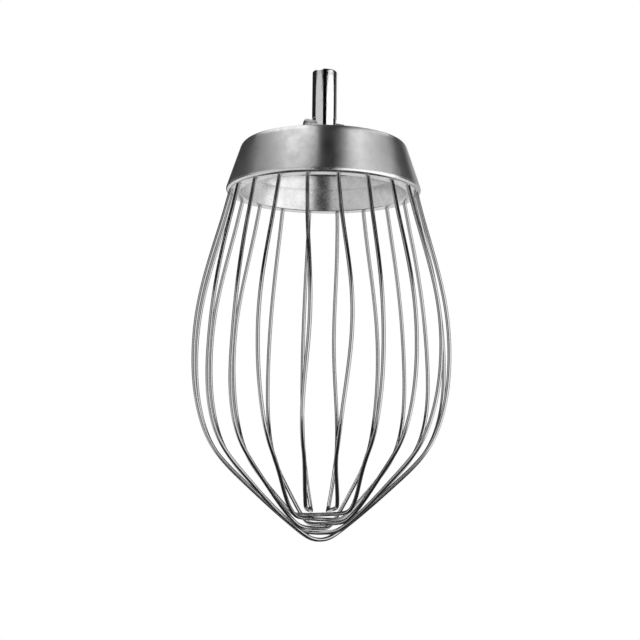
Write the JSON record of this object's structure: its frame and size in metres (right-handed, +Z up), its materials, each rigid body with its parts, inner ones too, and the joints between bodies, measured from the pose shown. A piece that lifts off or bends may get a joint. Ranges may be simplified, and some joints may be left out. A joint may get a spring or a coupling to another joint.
{
  "type": "mixer wire whip",
  "caption": "Wire whip for a planetary stand mixer: pinned round shank, open conical hub cap and a balloon-shaped cage of crossing wire loops.",
  "frame": {"origin": "on the shank's axis, just above the drive pin, where the ground sliding length of the shank begins", "axes": "+Z up along the shank away from the cage; -Y is the front"},
  "size_m": [0.1932, 0.1945, 0.3608],
  "materials": {
    "shank_steel": "polished stainless steel",
    "cap_metal": "satin, turned grain",
    "ring_metal": "satin, turned grain",
    "hub_fittings": "plain machined steel",
    "seal_rubber": "matt black",
    "wire_steel": "drawn and polished stainless spring wire"
  },
  "bodies": {
    "root": {"drive_shaft": "shank_steel", "drive_pin": "shank_steel", "shaft_flange": "hub_fittings", "hub_seal": "seal_rubber", "cap_shell": "cap_metal", "wire_ring": "ring_metal", "wire_retainer": "hub_fittings", "hub_washer": "hub_fittings", "spring_washer": "hub_fittings", "hub_nut": "hub_fittings", "wire_loop_01": "wire_steel", "wire_loop_02": "wire_steel", "wire_loop_03": "wire_steel", "wire_loop_04": "wire_steel", "wire_loop_05": "wire_steel", "wire_loop_06": "wire_steel", "wire_loop_07": "wire_steel", "wire_loop_08": "wire_steel", "wire_loop_09": "wire_steel", "wire_loop_10": "wire_steel"}
  },
  "joints": []
}
